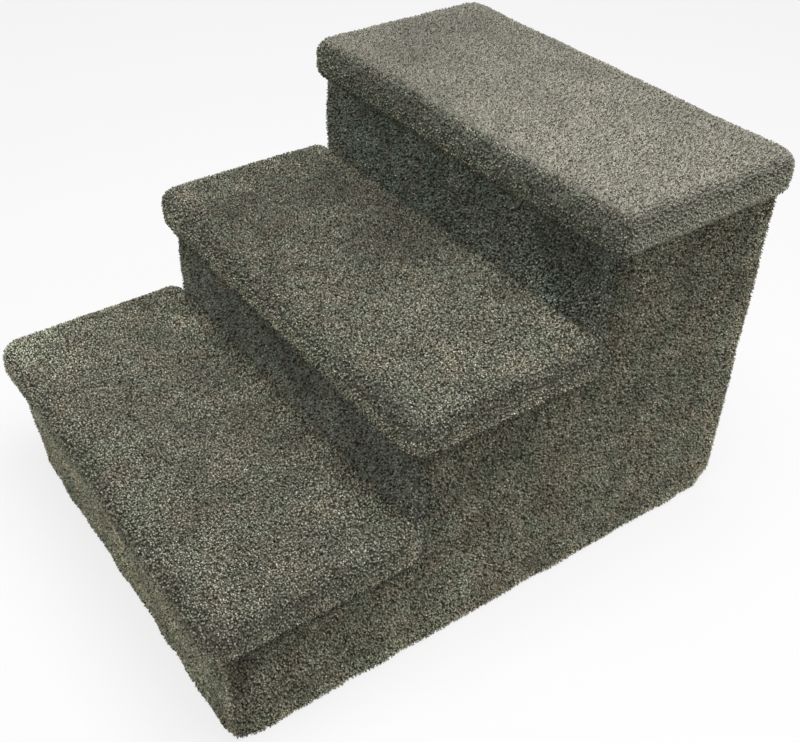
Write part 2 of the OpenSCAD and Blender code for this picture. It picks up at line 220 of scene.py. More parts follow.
floor_mesh = bmesh.new()
bmesh.ops.create_grid(floor_mesh, x_segments=1, y_segments=1, size=floor_size / 2)
floor = bpy.data.objects.new("studio_floor", bpy.data.meshes.new("studio_floor"))
floor_mesh.to_mesh(floor.data)
floor_mesh.free()
scene.collection.objects.link(floor)
floor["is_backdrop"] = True

floor_paint, tree = new_material("studio_floor")
seen = tree.add("ShaderNodeLightPath")["Is Camera Ray"]
paint = (floor_white, floor_white, floor_white, 1)
diffuse = tree.add("ShaderNodeBsdfDiffuse", None, {"Color": paint})["BSDF"]
glow = tree.add("ShaderNodeEmission", None, {"Color": (1, 1, 1, 1), "Strength": 1.0})["Emission"]
mixed = tree.add("ShaderNodeMixShader", None, {0: seen * floor_glow, 1: diffuse, 2: glow})
tree.add("ShaderNodeOutputMaterial", None, {"Surface": mixed["Shader"]})
floor.data.materials.append(floor_paint)
print("floor:", floor_size, "m square")

# %% [markdown]
# ## Studio light
# The light comes softly from above: the treads are pale, the side is darker, and the risers, which
# face away from the lamp, are darkest. A dome of even light and one large soft lamp overhead do it.
# A sun would cast edges that the photograph doesn't have.

# %% Dome and lamp
dome_strength = 0.42
lamp_power = 22.0
lamp_size = 1.1
lamp_place = Vector((0.30, 0.02, 1.60))
lamp_aim = Vector((0, 0, 0.2))

world = bpy.data.worlds.new("studio")
world.use_nodes = True
world.node_tree.nodes.clear()
tree = Tree(world.node_tree)
path = tree.add("ShaderNodeLightPath")
shown = path["Is Camera Ray"] + path["Is Glossy Ray"] + path["Is Transmission Ray"]
strength = shown.fade(0, 1, dome_strength, 1.0)
sky = tree.add("ShaderNodeBackground", None, {"Color": (1, 1, 1, 1), "Strength": strength})
tree.add("ShaderNodeOutputWorld", None, {"Surface": sky["Background"]})
scene.world = world

lamp = bpy.data.objects.new("overhead_lamp", bpy.data.lights.new("overhead_lamp", "AREA"))
lamp.data.shape = "DISK"
lamp.data.size = lamp_size
lamp.data.energy = lamp_power
lamp.location = lamp_place
lamp.visible_camera = False
lamp.rotation_euler = (lamp_aim - lamp_place).to_track_quat("-Z", "Y").to_euler()
scene.collection.objects.link(lamp)
print("lamp:", lamp_power, "W,", round((lamp_aim - lamp_place).length, 2), "m from its aim")

# %% [markdown]
# ## Where the carpets are
# The edges, corners and steps below are found from the carpets' own boxes. We read them once,
# because each reading walks over a whole mesh. The stairs climb in three steps, and a place on a
# wall belongs to the last riser that stands in front of it.

# %% Boxes of the carpets
boxes = {name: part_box(name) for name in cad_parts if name.endswith("_carpet")}
# The front of each riser, and the underside of the tread on it
wall_steps = sorted((low.y, high.z) for name, (low, high) in boxes.items() if "riser" in name)
tread_tops = [0, *sorted(high.z for name, (low, high) in boxes.items() if "tread" in name)]
riser_slack = 0.002


def step_at(place):
    """Which step, from the foot up, a place of a wall belongs to."""
    return sum(place.y > face - riser_slack for face, _ in wall_steps) - 1


print("tread tops, mm:", [round(1000 * top) for top in tread_tops[1:]])

# %% [markdown]
# ## Waves and pressed places
# Carpet glued on by hand isn't dead flat: it waves a little, more so along the foot, and corners get
# pressed in. This could be sculpted, or pushed about by a noise modifier. A function of the place
# keeps it in one spot, and each pressed place is a middle, a reach and a push that can be changed.

# %% Waves and pressed places
wave_height = 0.0009
wave_length = 0.055
fine_wave_share = 0.5
fine_wave_scale = 0.35
foot_height = 0.06
foot_wave_height = 0.0024
foot_wave_length = 0.03
fine_wave_start = Vector((7, 3, 5))
foot_wave_start = Vector((2, 9, 4))
# Middle of each place pressed out of true, its reach, and the push, in metres
pressed_places = [
    ((-0.2285, 0.080, 0.378), 0.075, (0.0010, 0.0030, 0.0)),
    ((-0.2285, -0.108, 0.250), 0.060, (0.0020, 0.0035, 0.0)),
    ((-0.2100, -0.279, 0.090), 0.075, (-0.0045, -0.0050, 0.0)),
    ((0.2130, -0.279, 0.000), 0.026, (-0.0050, 0.0050, 0.0)),
    ((0.2130, 0.293, 0.000), 0.026, (-0.0060, -0.0060, 0.0)),
]


def nearness(place, middle, reach):
    """1 at the middle of a place, fading smoothly to 0 at its reach."""
    near = max(0, 1 - (place - Vector(middle)).length / reach)
    return near * near * (3 - 2 * near)


def out_of_true(place, outward, meets_riser):
    """How far hand work moved a point: slight waves, pressed places, edges packed on a riser."""
    wave = noise.noise(place / wave_length)
    wave += fine_wave_share * noise.noise(place / (fine_wave_scale * wave_length) + fine_wave_start)
    moved = outward * wave * wave_height
    for middle, reach, push in pressed_places:
        moved += Vector(push) * nearness(place, middle, reach)
    if meets_riser:
        moved += packed(outward)
    if place.z < foot_height:
        wave = noise.noise(Vector((place.x, place.y, 0)) / foot_wave_length + foot_wave_start)
        fading = 1 - place.z / foot_height
        moved += Vector((outward.x, outward.y, 0)) * wave * foot_wave_height * fading
    return moved


print(len(pressed_places), "places pressed out of true")

# %% [markdown]
# The rear edge of the two lower treads is a case of its own. On the real stairs the carpet is
# packed against the foot of the next riser, so its rounded edge fills out to a square one.

# %% Edges packed into a corner
packed_against_riser = 0.0100
full_turn_share = 0.12
end_share = 1.4
rise_at_end_share = 0.35


def packed(outward):
    """Push that squares the rear edge of a tread, where its carpet is packed into the corner."""
    behind, above = (min(1, max(0, share) / full_turn_share) for share in (outward.y, outward.z))
    straight = max(0, 1 - end_share * abs(outward.x))
    push_back = (1 - outward.y) * behind * straight
    push_up = (above - max(outward.z, 0)) * behind
    push_up *= rise_at_end_share + (1 - rise_at_end_share) * straight
    return Vector((0, push_back, push_up)) * packed_against_riser


print("rear edges are squared by up to", round(1000 * packed_against_riser), "mm")

# %% [markdown]
# ## Wear, and painted light and shade
# Paws brush the pile one way and hands brush it the other, and each patch then catches the light
# differently; here that sheen is painted into the colour, and so are shadows under the nosings and in
# the corners and paler places where more light falls. An even noise gives clouds but no history, so
# the patches seen on the real stairs are listed one by one, each with its middle, its reach, and how
# much paler or darker its pile is.

# %% Wear, and painted light and shade
wear_and_painted_light_places = [
    # Lower riser, at its right-hand end
    ((0.200, -0.281, 0.095), 0.048, 0.66),
    ((0.196, -0.281, 0.035), 0.048, 0.66),
    # Lower tread
    ((-0.215, -0.270, 0.163), 0.120, 1.55),
    ((-0.212, -0.296, 0.140), 0.045, 1.30),
    ((-0.160, -0.110, 0.160), 0.070, 1.45),
    ((-0.135, -0.205, 0.163), 0.055, 1.20),
    ((0.150, -0.118, 0.163), 0.060, 1.22),
    # Middle riser, at its foot
    ((0.150, -0.100, 0.178), 0.045, 0.80),
    ((0.209, -0.102, 0.176), 0.034, 0.60),
    # Middle tread, from left to right
    ((-0.190, -0.113, 0.270), 0.045, 1.30),
    ((-0.170, -0.040, 0.278), 0.140, 0.85),
    ((-0.140, -0.054, 0.278), 0.050, 0.80),
    ((-0.130, 0.006, 0.278), 0.050, 1.20),
    ((-0.130, 0.032, 0.278), 0.100, 0.68),
    ((-0.092, 0.042, 0.278), 0.045, 0.84),
    ((-0.068, -0.038, 0.278), 0.050, 0.86),
    ((-0.020, 0.036, 0.278), 0.070, 0.82),
    ((-0.010, 0.040, 0.278), 0.090, 0.70),
    ((0.000, -0.038, 0.278), 0.045, 0.86),
    ((0.130, -0.024, 0.278), 0.040, 0.86),
    ((0.136, -0.090, 0.278), 0.045, 1.22),
    ((0.150, 0.000, 0.278), 0.140, 1.17),
    ((0.185, -0.113, 0.262), 0.050, 0.80),
    ((0.190, 0.062, 0.278), 0.040, 1.25),
    ((0.228, -0.089, 0.243), 0.030, 0.85),
    # Upper riser
    ((-0.150, 0.086, 0.310), 0.100, 1.15),
    ((0.130, 0.086, 0.296), 0.040, 1.25),
    ((0.140, 0.086, 0.284), 0.040, 1.42),
    ((0.150, 0.086, 0.320), 0.060, 0.50),
    ((0.195, 0.084, 0.325), 0.045, 0.72),
    # Upper tread
    ((-0.190, 0.072, 0.376), 0.050, 1.45),
    ((-0.190, 0.180, 0.394), 0.140, 0.85),
    ((-0.140, 0.130, 0.394), 0.100, 0.90),
    ((-0.120, 0.190, 0.394), 0.180, 0.90),
    ((0.060, 0.075, 0.385), 0.040, 1.25),
    ((0.130, 0.130, 0.394), 0.120, 1.08),
    ((0.194, 0.075, 0.366), 0.045, 0.60),
    # Right side, from front to back
    ((0.213, -0.130, 0.080), 0.050, 1.25),
    ((0.213, -0.090, 0.122), 0.035, 0.75),
    ((0.213, -0.035, 0.060), 0.055, 1.45),
    ((0.213, -0.015, 0.205), 0.055, 0.75),
    ((0.213, 0.045, 0.205), 0.050, 1.25),
    ((0.213, 0.092, 0.020), 0.030, 1.35),
    ((0.213, 0.092, 0.300), 0.045, 0.80),
    ((0.213, 0.096, 0.335), 0.035, 0.75),
    ((0.213, 0.145, 0.320), 0.040, 1.30),
    ((0.213, 0.240, 0.210), 0.045, 1.25),
]
# Places of wear and brushing, and of painted light and shade
print(len(wear_and_painted_light_places), "places worn or brushed")

# %% [markdown]
# ## Painted light and shade over a tread's edge
# Where pile turns over an edge its tufts part, show their roots and then hang down, which makes soft
# bands along the edge. Light alone gives only part of them, so the rest is painted light and painted
# shade: dark lines under the nosings and by the risers, and pale rims. Each band is a short table
# along a line: places in millimetres, and the share of the plain shade at each.

# %% Painted light and shade over the edges of the treads
edge_radius = 0.0152
ragged_edge = 0.0050
ragged_scale = 90
ragged_depth = 0.02
top_thickness = 0.0002
# Painted light and shade over the front edge and over the ends, from the flat top, below zero, and
# down the face
painted_front_shades = {
    "lower_tread_carpet": ((-75, -50, -20, 0, 5, 11, 17, 21, 25, 30, 36),
                           (1.0, 1.10, 1.12, 1.08, 1.12, 1.0, 0.82, 0.87, 1.02, 1.27, 0.62)),
    "middle_tread_carpet": ((-3, 0.5, 4.5, 8, 13, 17, 21, 25, 28, 31, 36),
                            (1.0, 0.96, 0.87, 1.04, 1.16, 1.18, 1.35, 1.28, 0.85, 0.46, 0.32)),
    "upper_tread_carpet": ((-14, -6, 0, 0.5, 2, 4.5, 17, 25, 28, 36),
                           (1.0, 0.89, 0.80, 0.68, 0.68, 0.43, 0.54, 0.60, 0.30, 0.44)),
}
painted_end_shades = {
    "lower_tread_carpet": ((-25, -12, 0, 3, 8, 13, 17, 21, 25, 28, 31, 36),
                           (1.0, 1.08, 0.98, 1.18, 0.88, 0.86, 0.86, 0.96, 1.13, 0.86, 0.29, 0.21)),
    "middle_tread_carpet": ((-60, -40, 0, 2, 5, 9, 17, 21, 25, 27, 30, 36),
                            (1.0, 1.17, 1.12, 1.28, 0.88, 0.80, 0.85, 0.90, 1.22, 1.42, 0.50, 0.38)),
    "upper_tread_carpet": ((-10, 0.5, 2, 4.5, 8, 12, 17, 21, 26, 32, 36),
                           (1.0, 1.1, 1.02, 0.87, 0.79, 0.72, 0.77, 0.80, 0.91, 0.68, 0.62)),
}
# Painted light and shade on the flat of a tread, forward from its rear edge
painted_rear_edge_shades = {
    "lower_tread_carpet": ((0, 10, 22, 40, 60), (1.65, 1.5, 1.38, 1.12, 1.0)),
    "middle_tread_carpet": ((0, 6, 9, 12, 17, 24, 40, 50, 60, 75),
                            (0.28, 0.42, 0.95, 1.20, 1.15, 1.0, 0.94, 0.9, 0.92, 1.0)),
    "upper_tread_carpet": ((0, 20, 45, 80), (0.86, 0.90, 0.94, 1.0)),
}


def shade_at(place, places, shades):
    """The share that a table gives for a place in metres."""
    return float(np.interp(1000 * place, places, shades))


def painted_edge_shade(place, outward, node):
    """Painted light and shade of a tread's pile from its flat top over its front edge and its ends."""
    low, high = boxes[node]
    below_top = high.z - place.z
    ragged = noise.noise(place * ragged_scale) * ragged_edge * max(0, 1 - below_top / ragged_depth)
    flat = below_top < top_thickness
    level = Vector((outward.x, outward.y, 0)).normalized() if outward.length_squared else outward
    in_front = 1 if flat else max(0, -level.y) ** 2
    at_end = 1 if flat else level.x ** 2
    to_front = low.y + edge_radius - place.y if flat else below_top
    to_end = abs(place.x) - high.x + edge_radius if flat else below_top
    share = 1 + in_front * (shade_at(to_front + ragged, *painted_front_shades[node]) - 1)
    return share * (1 + at_end * (shade_at(to_end + ragged, *painted_end_shades[node]) - 1))


print("darkest front edge:", min(painted_front_shades["upper_tread_carpet"][1]), "of the plain shade")

# %% [markdown]
# ## Painted light and shade on the walls
# Below each overhang the pile of the walls is sheltered and stands up, and a painted shadow line is
# followed by a paler painted band. The corners by the risers are darker as well, partly the seam of
# the cut edges and partly painted shade, and the foot and the rear corner are painted paler. The
# tables are read in the same way as those of the treads.

# %% Painted light and shade of the walls
# Painted shadow and paler band by how far down a place is from the tread above, at the sides for
# each tread in turn
painted_shade_below_tread = {
    "middle_riser_carpet": ((0, 5, 8, 10, 15, 19, 23), (0.65, 0.95, 0.9, 0.78, 0.77, 0.9, 1.0)),
    "upper_riser_carpet": ((0, 3, 6, 10, 15, 22, 40), (0.60, 1.0, 1.45, 1.35, 1.27, 1.12, 1.0)),
    "side": (((0, 8, 12, 15, 19, 24, 35), (0.62, 0.80, 0.55, 0.50, 1.0, 1.15, 1.0)),
             ((0, 6, 9, 13, 20, 35, 60), (0.62, 0.75, 0.58, 1.02, 1.38, 1.15, 1.0)),
             ((0, 6, 9, 13, 20, 35, 60), (0.62, 0.8, 0.9, 1.35, 1.24, 1.05, 1.0))),
}
painted_shade_below_elsewhere = ((0, 5), (0.65, 1.0))
# Painted light and shade on a side: up from the floor, back from a riser's corner, and forward from
# the rear corner
painted_side_shades = ((0, 12, 30, 60, 150, 220), (1.45, 1.3, 1.08, 1.08, 1.0, 0.90))
painted_corner_shades = ((0, 14, 26), (0.70, 0.74, 1.0))
painted_rear_shades = ((0, 8, 25), (1.38, 1.26, 1.0))
corner_ragged_edge = 0.0035
corner_ragged_scale = 60
faces_sideways = 0.5
# Painted light: how much paler the lower riser is on its face than round its ends
lower_riser_painted_light = 0.72
print("steps of a side:", len(painted_shade_below_tread["side"]))


# %% Wear, and painted light and shade, at a place of a carpet
def painted_wall_shade(place, node):
    """Painted shadow and light on a wall's pile by its depth below the tread above it."""
    step = step_at(place)
    if "side" in node:
        shades = painted_shade_below_tread["side"][step]
    else:
        shades = painted_shade_below_tread.get(node, painted_shade_below_elsewhere)
    return shade_at(wall_steps[step][1] - place.z, *shades)


def painted_side_shade(place, node):
    """Painted light and shade on a side's pile by its height, and by its distance from either corner.
    """
    share = shade_at(place.z, *painted_side_shades)
    share *= shade_at(boxes[node][1].y - place.y, *painted_rear_shades)
    step = step_at(place)
    if place.z > tread_tops[step]:
        ragged = noise.noise(place * corner_ragged_scale) * corner_ragged_edge
        share *= shade_at(place.y - wall_steps[step][0] + ragged, *painted_corner_shades)
    return share


def wear_and_painted_light(place, outward, node):
    """How pale the pile is at a place of a carpet, from wear and from painted light and shade."""
    share = 1.0
    for middle, reach, change in wear_and_painted_light_places:
        share *= 1 + (change - 1) * nearness(place, middle, reach)
    if "tread" in node:
        share *= painted_edge_shade(place, outward, node)
        from_rear = shade_at(boxes[node][1].y - place.y, *painted_rear_edge_shades[node])
        return share * (1 + (from_rear - 1) * max(0, outward.z))
    share *= painted_wall_shade(place, node)
    # Painted light on the face of the lower riser
    if node == "lower_riser_carpet":
        share *= 1 + lower_riser_painted_light * max(0, -outward.y) ** 4
    if abs(outward.x) > faces_sideways:
        share *= painted_side_shade(place, node)
    return share


upper_middle = Vector((0, stairs_high.y / 2, stairs_high.z))
upper_shade = wear_and_painted_light(upper_middle, Vector((0, 0, 1)), "upper_tread_carpet")
print("shade near the middle of the upper tread:", round(upper_shade, 2))

# %% [markdown]
# ## Cutting the skin of a carpet
# Each sheet of carpet is a backing with pile on one side. Its outer skin could be drawn anew, but
# the CAD solid already has the right folds, hems and edges. So we take a copy of the solid, merge
# its loose triangles, cut it into a fine grid, and keep the side that faces away from the wood.

# %% Which side carries the pile
wall_grid = (0.011, 0.011, 0.0055)
tread_grid = (0.011, 0.0055, 0.0025)
on_plane = 1e-7
faces_away = 0.75

boards = [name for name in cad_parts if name.endswith(("_panel", "_board"))]
wood = bmesh.new()
for name in boards:
    wood.from_mesh(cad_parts[name].data)
wood_surface = BVHTree.FromBMesh(wood)
wood.free()


def cut_in_grid(bm, steps):
    """Cuts the mesh along planes spaced by a step of its own on each axis."""
    low = [min(v.co[axis] for v in bm.verts) for axis in range(3)]
    high = [max(v.co[axis] for v in bm.verts) for axis in range(3)]
    for axis, step in enumerate(steps):
        cuts = int((high[axis] - low[axis]) / step)
        normal = Vector([axis == 0, axis == 1, axis == 2])
        for cut in range(1, cuts + 1):
            place = Vector(low)
            place[axis] += (high[axis] - low[axis]) * cut / (cuts + 1)
            bmesh.ops.bisect_plane(bm, geom=bm.verts[:] + bm.edges[:] + bm.faces[:],
                                   plane_co=place, plane_no=normal, dist=on_plane)


def carries_pile(face):
    """True on the side of the carpet that faces away from the wood."""
    centre = face.calc_center_median()
    nearest = wood_surface.find_nearest(centre)[0]
    return face.normal.dot((centre - nearest).normalized()) > faces_away


print("wood to measure from:", len(boards), "boards and panels")

# %% [markdown]
# The skin is then sunk to the roots of the pile and given its waves, and each of its points notes
# its wear and painted light and shade, how flat the pile lies there, and how plain its colour is.
# Numbers kept on the points follow the skin wherever it goes, so the pile needs no map or painted
# mask.

# %% Skin of a carpet
pile_height = 0.0023
laid_sink = 0.58
above_floor = 0.0004
merge_distance = 1e-5
flat_angle = radians(0.5)
sliver_width = 0.0006
brushed_plain = 0.85
brushed_turn = 0.3
tread_laid_from = 0.45
wall_laid_turn = 0.35
corner_laid = 3.0


def laid_flat(outward, is_tread):
    """How flat the pile lies: all the way where it faces down, and partly on a tread's edge."""
    if is_tread:
        return min(1, max(0, tread_laid_from - outward.z) / tread_laid_from)
    return min(1, max(0, -outward.z) / wall_laid_turn + corner_laid * abs(outward.x * outward.y))


def cut_skin(node, grid):
    """The pile side of a CAD carpet, cut into a grid, as an open bmesh."""
    bm = bmesh.new()
    bm.from_mesh(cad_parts[node].data)
    bmesh.ops.remove_doubles(bm, verts=bm.verts, dist=merge_distance)
    bmesh.ops.dissolve_limit(bm, angle_limit=flat_angle, verts=bm.verts, edges=bm.edges)
    cut_in_grid(bm, grid)
    inside = [face for face in bm.faces if not carries_pile(face)]
    bmesh.ops.delete(bm, geom=inside, context="FACES")
    bmesh.ops.remove_doubles(bm, verts=bm.verts, dist=sliver_width)
    bmesh.ops.triangulate(bm, faces=[face for face in bm.faces if len(face.verts) > 4])
    bm.normal_update()
    return bm


print("pile stands", round(1000 * pile_height, 1), "mm over its skin")


# %% Skin with its waves and wear
def carpet_skin(node):
    """The pile side of a carpet, as an open mesh at the roots of its pile."""
    is_tread = "tread" in node
    meets_riser = node in ("lower_tread_carpet", "middle_tread_carpet")
    bm = cut_skin(node, tread_grid if is_tread else wall_grid)
    # Wear, and painted light and shade, kept on each point
    wear_and_light_layer = bm.verts.layers.float.new("wear_and_painted_light")
    laid = bm.verts.layers.float.new("laid")
    plain = bm.verts.layers.float.new("plain")
    for vertex in bm.verts:
        vertex[wear_and_light_layer] = wear_and_painted_light(vertex.co, vertex.normal, node)
        vertex[laid] = laid_flat(vertex.normal, is_tread)
        if node == "upper_tread_carpet":
            turned_down = min(1, max(0, -vertex.normal.y) / brushed_turn)
            vertex[plain] = brushed_plain * (1 - turned_down)
        sink = pile_height * (1 - (1 - laid_sink) * vertex[laid])
        vertex.co += out_of_true(vertex.co, vertex.normal, meets_riser) - vertex.normal * sink
        vertex.co.z = max(vertex.co.z, pile_height * laid_sink + above_floor)
    mesh = bpy.data.meshes.new(node + "_skin")
    bm.to_mesh(mesh)
    bm.free()
    mesh.shade_smooth()
    return mesh


# %% [markdown]
# ## A tuft
# The pile is tufts of two-ply yarn, cut and opened at the tip. Hair particles would give round
# strands, and they can't be exported; a bumpy surface has no gaps between the tufts. So a tuft is
# modelled: two plies that stand on one root and lean apart, each the simplest closed form there is,
# a three-sided cone on its point. Eight triangles a tuft keep thousands of them light.

# %% Tuft
ply_radius = 0.00088
ply_lengths = (0.0040, 0.0034)
ply_lean = radians(22)
first_turn = 0.6
root_sink = 0.0006
tip_share = 0.85
cell_margin = 0.12
one_point = 1e-6


def fill_cell(bm, cell):
    """Lays the faces of the tuft side by side in the unit square, for the export's bake."""
    corners = (((0, 0), (1, 0), (0, 1)), ((1, 1), (0, 1), (1, 0)))
    for number, face in enumerate(bm.faces):
        square = Vector((number // 2 % 2, number // 4))
        for loop, corner in zip(face.loops, corners[number % 2]):
            inner = Vector(corner) * (1 - 2 * cell_margin) + Vector((cell_margin, cell_margin))
            loop[cell].uv = (square + inner) / 2


def link(name, mesh):
    """An object for a mesh, in the scene."""
    made = bpy.data.objects.new(name, mesh)
    scene.collection.objects.link(made)
    return made


def make_tuft():
    """Two plies on one root. Each point notes its ply and how near it is to the tip."""
    bm = bmesh.new()
    tip = bm.verts.layers.float.new("tip")
    ply_of = bm.verts.layers.float.new("ply")
    cell = bm.loops.layers.uv.new("OFBake")
    for ply, length in enumerate(ply_lengths):
        made = bmesh.ops.create_cone(bm, cap_ends=True, segments=3, radius1=0,
                                     radius2=ply_radius, depth=length)["verts"]
        bmesh.ops.translate(bm, verts=made, vec=(0, 0, length / 2 - root_sink))
        turn = Matrix.Rotation(pi * ply + first_turn, 3, "Z") @ Matrix.Rotation(ply_lean, 3, "X")
        bmesh.ops.rotate(bm, verts=made, cent=(0, 0, 0), matrix=turn)
        for vertex in made:
            vertex[ply_of] = ply
    bmesh.ops.remove_doubles(bm, verts=bm.verts, dist=one_point)
    for vertex in bm.verts:
        vertex[tip] = min(1, max(0, vertex.co.z / (tip_share * ply_lengths[0])))
    fill_cell(bm, cell)
    mesh = bpy.data.meshes.new("tuft")
    bm.to_mesh(mesh)
    bm.free()
    return link("tuft", mesh)


tuft = make_tuft()
print("tuft:", len(tuft.data.vertices), "points,", len(tuft.data.polygons), "faces")

# %% [markdown]
# ## Pile colours
# The yarn is heathered: grey-green, taupe, beige and a few dark and pale tufts, with soft patches
# where one shade gathers. Each tuft reads its own number for its shade, takes painted shade towards
# its root, and takes a wide soft noise for the patches and small cells of painted shade for the
# dark gaps between strands. One picture over the whole carpet would run across the tufts instead of
# giving each its own yarn.

# %% Colour helpers
def attribute(tree, name, output="Fac"):
    """A number or vector that the mesh carries."""
    return tree.add("ShaderNodeAttribute", dict(attribute_name=name))[output]


def noise_field(tree, place, scale, detail=2.0, rough=0.5):
    """Soft noise around a half."""
    return tree.add("ShaderNodeTexNoise", None, {"Vector": place, "Scale": scale, "Detail": detail,
                                                 "Roughness": rough})["Fac"]


def ramp(tree, value, *stops):
    """A colour for a value, from stops of a place and a colour."""
    return tree.add("ShaderNodeValToRGB", dict(stops=stops), {"Fac": value})["Color"]


def tinted(tree, first, second):
    """One colour, or vector, times another."""
    return tree.add("ShaderNodeVectorMath", dict(operation="MULTIPLY"), {0: first, 1: second})[0]


def dimmed(tree, colour, share):
    """A colour times a number."""
    return tree.add("ShaderNodeVectorMath", dict(operation="SCALE"),
                    {0: colour, "Scale": share})[0]


# %% Pile material
second_ply_shade = 0.61
plain_yarn = (0.395, 0.388, 0.318, 1)
plain_root_less_shade = 0.52
plain_clouds_share = 0.6
tuft_gap_scale = 235.0

pile_material, tree = new_material("carpet_pile")
place = tree.add("ShaderNodeTexCoord")["Object"]
yarn = attribute(tree, "yarn") + attribute(tree, "ply") * second_ply_shade
yarn = yarn.maths("FRACT", yarn)
shade = ramp(tree, yarn,
             (0.00, (0.057, 0.055, 0.036)),
             (0.11, (0.110, 0.108, 0.076)),
             (0.20, (0.285, 0.282, 0.220)),
             (0.48, (0.385, 0.380, 0.306)),
             (0.76, (0.480, 0.470, 0.386)),
             (0.93, (0.590, 0.578, 0.500)),
             (1.00, (0.755, 0.738, 0.668)))
hue = ramp(tree, noise_field(tree, place, 40.0, 1.0),
           (0.36, (0.95, 1.015, 0.968)), (0.5, (1.0, 1.0, 1.0)), (0.64, (1.04, 0.992, 0.96)))
plain = attribute(tree, "plain")
heather = tree.add("ShaderNodeMix", dict(data_type="RGBA"),
                   {"Factor": plain, "A": tinted(tree, shade, hue), "B": plain_yarn})["Result"]
patches = noise_field(tree, place, 24.0, 3.0, 0.6).fade(0.3, 0.7, 0.80, 1.18)
strands = noise_field(tree, place, 1100.0, 1.0).fade(0.3, 0.7, 0.82, 1.18)
# Painted shade in the gaps between strands
painted_gap_shade = tree.add("ShaderNodeTexVoronoi", dict(feature="DISTANCE_TO_EDGE"),
               {"Vector": place, "Scale": tuft_gap_scale})["Distance"]
strands = strands * painted_gap_shade.fade(0.0, 0.15, 0.56, 1.10)
tip = attribute(tree, "tip").fade(0.1, 0.9)
# Painted shade towards the root of each tuft, less where the colour is plain
root_dark = attribute(tree, "root_dark") + plain * plain_root_less_shade
cloudy = 1 + (patches * strands - 1) * (1 - plain * plain_clouds_share)
# Painted shade at the roots and in the gaps, the patches, and the skin's wear and painted light
depth = (root_dark + tip * (1 - root_dark)) * cloudy * attribute(tree, "wear_and_painted_light")
# Tint of the painted shade at the roots
root_shade_tint = ramp(tree, tip, (0, (1.05, 1.0, 0.76)), (1, (0.995, 1.0, 1.04)))
yarn_colour = tinted(tree, heather, attribute(tree, "lay", "Vector"))
yarn_colour = tinted(tree, yarn_colour, root_shade_tint)
principled(tree, {"Base Color": dimmed(tree, yarn_colour, depth),
                  "Roughness": 0.95, "Specular IOR Level": 0.2})
print(pile_material.name, "has", len(pile_material.node_tree.nodes), "nodes")

# %% [markdown]
# Between the tufts one sees the ground of the carpet, dark with shade and fluff. Its other side is
# the jute backing, which shows where a fold ends under a tread or at the hem. A woven mesh would be
# closer to jute, but so little of it shows that a fine noise is enough for both.

# %% Ground and backing materials
ground_material, tree = new_material("carpet_ground")
place = tree.add("ShaderNodeTexCoord")["Object"]
grain = ramp(tree, noise_field(tree, place, 700.0),
             (0.35, (0.05, 0.05, 0.041)), (0.5, (0.11, 0.108, 0.088)), (0.65, (0.20, 0.195, 0.158)))
principled(tree, {"Base Color": grain, "Roughness": 0.95, "Specular IOR Level": 0.1})

backing_material, tree = new_material("carpet_backing")
place = tree.add("ShaderNodeTexCoord")["Object"]
weave = ramp(tree, noise_field(tree, place, 900.0, 3.0, 0.6),
             (0.36, (0.20, 0.165, 0.115)), (0.5, (0.36, 0.31, 0.225)), (0.66, (0.52, 0.46, 0.35)))
principled(tree, {"Base Color": weave, "Roughness": 0.9, "Specular IOR Level": 0.15})
print("under the pile:", ground_material.name, "and", backing_material.name)

# %% [markdown]
# ## How the tufts stand
# A tuft leans a little astray, and with the nap. Where the carpet turns under, the tufts are combed
# flat by the floor and the wood. Each of these is a vector, and their sum is the way the tuft
# stands. Combing a particle system by hand would do it too, but not the same way on each run.

# %% Lean of a tuft
combed_pull = 1.9
combed_stray = 0.28
full_circle = 2 * pi


def random_value(tree, low, high, data_type, seed):
    """A number or vector of its own for each tuft."""
    return tree.add("FunctionNodeRandomValue", dict(data_type=data_type),
                    {"Min": low, "Max": high, "Seed": seed})["Value"]


def vector_maths(tree, operation, first, second):
    """Sum or product of two vectors, or of a vector and a number."""
    key = "Scale" if operation == "SCALE" else 1
    return tree.add("ShaderNodeVectorMath", dict(operation=operation), {0: first, key: second})[0]


def tuft_lean(tree, outward, combed, kind, seed):
    """The way a tuft leans: outwards, a little astray, with the nap, or combed under."""
    rise = tree.add("ShaderNodeSeparateXYZ", None, {0: outward})["Z"]
    under = vector_maths(tree, "SCALE", outward, rise)
    under = vector_maths(tree, "ADD", under, (0, 0, -1))
    furthest = kind["stray"]
    stray = random_value(tree, (-furthest,) * 3, (furthest,) * 3, "FLOAT_VECTOR", seed + 1)
    stray = vector_maths(tree, "SCALE", stray, combed.fade(0, 1, 1.0, combed_stray))
    lean = vector_maths(tree, "ADD", outward, stray)
    lean = vector_maths(tree, "ADD", lean, vector_maths(tree, "SCALE", kind["nap"], 1 - combed))
    return vector_maths(tree, "ADD", lean,
                        vector_maths(tree, "SCALE", under, combed * combed_pull))


def tuft_turn(tree, lean, seed):
    """Stands a tuft along its lean and spins it about that at random."""
    stand = tree.add("FunctionNodeAlignRotationToVector", dict(axis="Z"),
                     {"Vector": lean})["Rotation"]
    spin = random_value(tree, 0.0, full_circle, "FLOAT", seed + 2)
    spin = tree.add("ShaderNodeCombineXYZ", None, {"Z": spin})[0]
    spin = tree.add("FunctionNodeEulerToRotation", None, {"Euler": spin})["Rotation"]
    return tree.add("FunctionNodeRotateRotation", dict(rotation_space="LOCAL"),
                    {"Rotation": stand, "Rotate By": spin})["Rotation"]


# %% [markdown]
# Pile also looks paler or darker by the way it faces, and here that is painted: a painted sheen where
# it is combed flat and shows its shiny flank, and painted shade on a bend, where it opens. This share
# is kept with each tuft, next to the number that picks its yarn.

# %% Painted sheen and shade by the way the pile faces
combed_painted_sheen = 1.30
bend_painted_shade = 0.88


